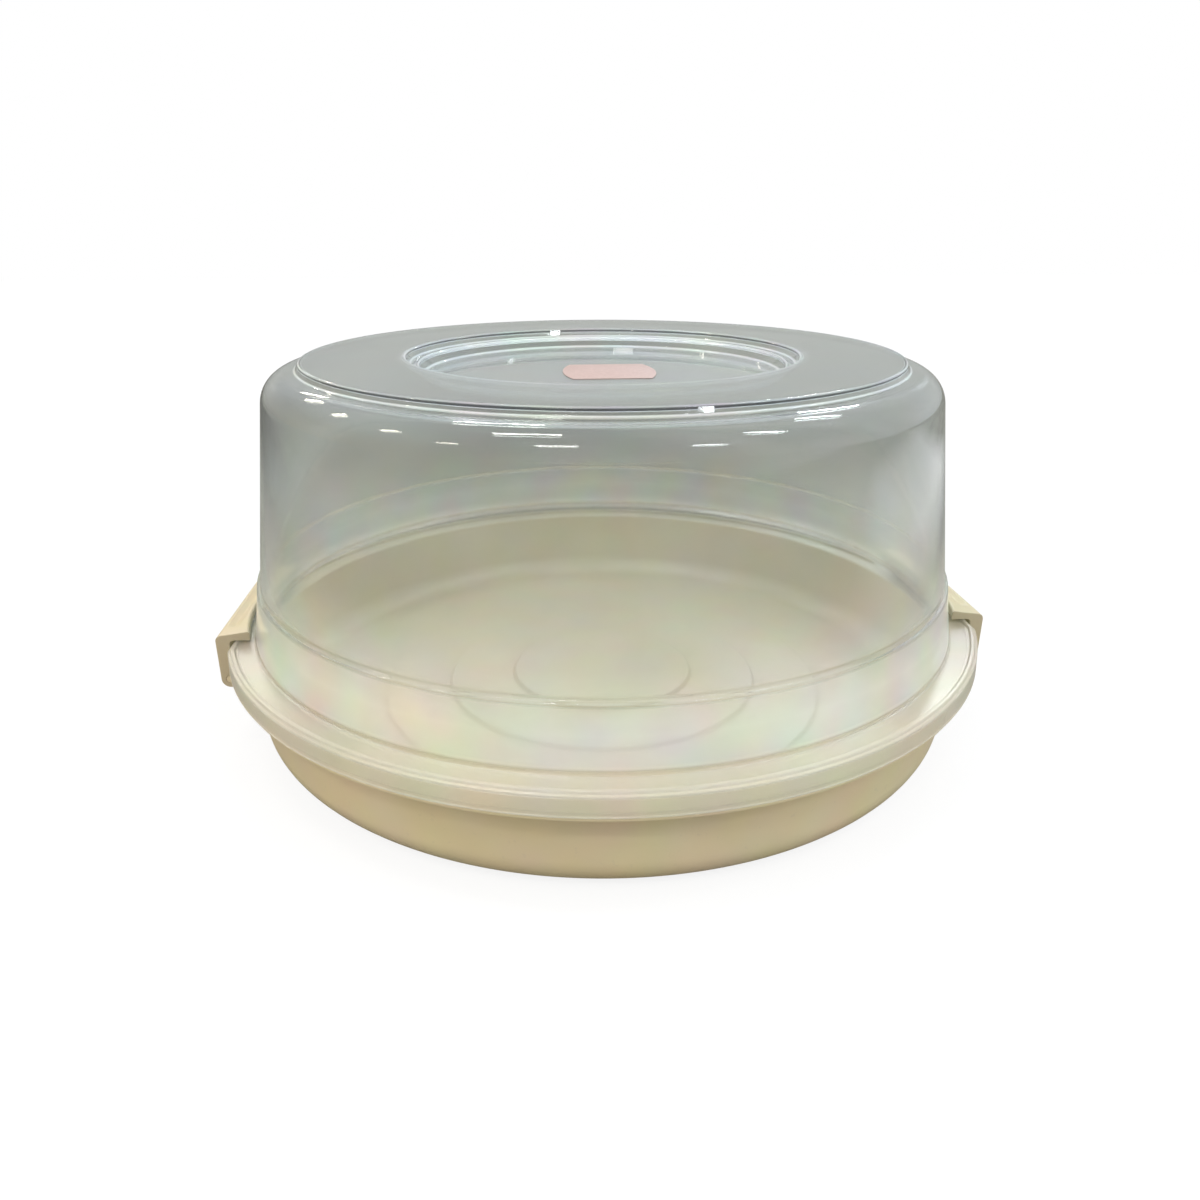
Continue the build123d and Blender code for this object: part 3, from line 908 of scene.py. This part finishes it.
def floor_finish():
    """Pale floor that keeps the object's shadow: white to the camera. Glossy and clear surfaces see it glow
    in grey bands, and glossy ones also see a glowing bright patch at the right and dark ones at the left and
    in the middle, which are painted reflections."""
    finish = Finish("pale_floor")
    seen, through, glossy = finish.path("Is Camera Ray"), seen_through(finish), finish.path("Is Glossy Ray")
    plain = finish.node("ShaderNodeBsdfDiffuse", inputs={"Color": finish.blend(seen, *FLOOR_IN_LIGHT)})
    across, deep = finish.axis("X"), finish.axis("Y")
    # painted reflections: what glossy and clear surfaces see of the floor glows in bands and patches
    bands = finish.between(finish.noise(6.0, 2.0, where=finish.stretched((1.0, 0.2, 1.0))), 0.36, 0.64)
    bright = finish.within(across, *BRIGHT_X) * finish.within(deep, *BRIGHT_Y) * glossy
    ground = finish.blend(bands, *FLOOR_BANDS)
    ground = finish.blend(bright, ground, WHITE)
    ground = finish.blend(finish.within(across, *DARK_X) * glossy, ground, FLOOR_LEFT)
    ground = finish.blend(finish.between(abs(across), *MIDDLE_X) * glossy, ground, FLOOR_MIDDLE)
    glow = finish.node("ShaderNodeEmission", inputs={"Color": finish.blend(seen, ground, WHITE)})
    return finish.surface(finish.mix(seen * 0.85 + through * 0.8, plain, glow))


def room():
    """Pale room, brighter overhead than at the horizon, where it is cool at the right and warm at the left.
    It is a little dimmer where it lights a dull surface, and white where the camera sees it."""
    world = bpy.data.worlds.new("pale_room")
    bpy.context.scene.world = world
    finish = Finish("pale_room", world)
    direction = finish.node("ShaderNodeTexCoord", output="Generated")
    up = finish.node("ShaderNodeSeparateXYZ", inputs={0: direction}, output="Z")
    across = finish.node("ShaderNodeSeparateXYZ", inputs={0: direction}, output="X")
    near_horizon = finish.between(up, 0.6, 0.3) * 0.6
    near, far = ROOM_SIDE
    sky = finish.node("ShaderNodeValToRGB", {"stops": ROOM_STOPS}, {"Fac": up})
    sky = finish.blend(finish.between(across, near, far) * near_horizon, sky, ROOM_RIGHT)
    sky = finish.blend(finish.between(across, -near, -far) * near_horizon, sky, ROOM_LEFT)
    dimmed = finish.blend(1.0, sky, ROOM_DIM, "MULTIPLY")
    tone = finish.blend(seen_through(finish), dimmed, sky)
    tone = finish.blend(finish.path("Is Camera Ray"), tone, WHITE)
    finish.surface(finish.node("ShaderNodeBackground", inputs={"Color": tone, "Strength": 1.0}))


floor_mesh = bpy.data.meshes.new("floor")
floor_corners = [(x * FLOOR_HALF, y * FLOOR_HALF, 0) for x, y in ((-1, -1), (1, -1), (1, 1), (-1, 1))]
floor_mesh.from_pydata(floor_corners, [], [(0, 1, 2, 3)])
floor = placed("floor", floor_mesh)
floor.data.materials.append(floor_finish())
room()

# ceiling panels: rows one behind another, each with a warm panel at the left and a cool one at the right
CEILING = 2.4
PANEL_SIZE = (0.60, 0.16)
ROW_PLACES = (-1.95, -0.25, 1.55, 3.7, 6.1)
ROW_TURN = radians(-4.3)
NEAR_POWERS, FAR_POWERS = (7.8, 9.2, 10.6), (18.0, 1.5, 27.0)
ROW_POWERS = (NEAR_POWERS, NEAR_POWERS, NEAR_POWERS, FAR_POWERS, FAR_POWERS)
COLUMN_PLACES = (-2.7, -0.62, 1.6)
COLUMN_TONES = ((1.0, 0.93, 0.81), (1.0, 0.98, 0.95), (0.92, 0.97, 1.0))
for row, (back, powers) in enumerate(zip(ROW_PLACES, ROW_POWERS)):
    for column, (along, power, tone) in enumerate(zip(COLUMN_PLACES, powers, COLUMN_TONES)):
        panel = bpy.data.lights.new(f"panel_{row}_{column}", "AREA")
        panel.shape = "RECTANGLE"
        panel.size, panel.size_y = PANEL_SIZE
        panel.energy = power
        panel.color = tone
        hung = placed(panel.name, panel)
        hung.location = (
            along * cos(ROW_TURN) - back * sin(ROW_TURN),
            along * sin(ROW_TURN) + back * cos(ROW_TURN),
            CEILING,
        )
        hung.rotation_euler = (0, 0, ROW_TURN)

# two soft lamps in front, which no reflection shows
LAMP_SIZE = 0.40
LAMP_POWER = 1.36
LAMP_ACROSS, LAMP_BACK, LAMP_HEIGHT = 0.43, -0.36, 0.42
LAMPS = (("left", -1, (1.0, 0.95, 0.86)), ("right", 1, (0.91, 0.96, 1.0)))
for word, side, tone in LAMPS:
    lamp = bpy.data.lights.new(f"front_lamp_{word}", "AREA")
    lamp.shape = "DISK"
    lamp.size = LAMP_SIZE
    lamp.energy = LAMP_POWER
    lamp.color = tone
    stood = placed(lamp.name, lamp)
    stood.location = (LAMP_ACROSS * side, LAMP_BACK, LAMP_HEIGHT)
    stood.rotation_euler = stood.location.to_track_quat("Z", "Y").to_euler()
    stood.visible_glossy = False
    stood.visible_transmission = False

# ==== camera =========================================================================================
CAMERA_PLACE = (-0.0309, -0.4108, 0.2132)
CAMERA_TILT = radians(67.73)     # from looking straight down
CAMERA_TURN = radians(-4.16)
camera_data = bpy.data.cameras.new("camera")
camera_data.lens = 28.57
camera_data.sensor_width = 36.0
camera_data.clip_start = 0.01
camera = placed("camera", camera_data)
camera.location = CAMERA_PLACE
camera.rotation_euler = (CAMERA_TILT, 0, CAMERA_TURN)
bpy.context.scene.camera = camera
bpy.context.scene.view_settings.view_transform = "Standard"
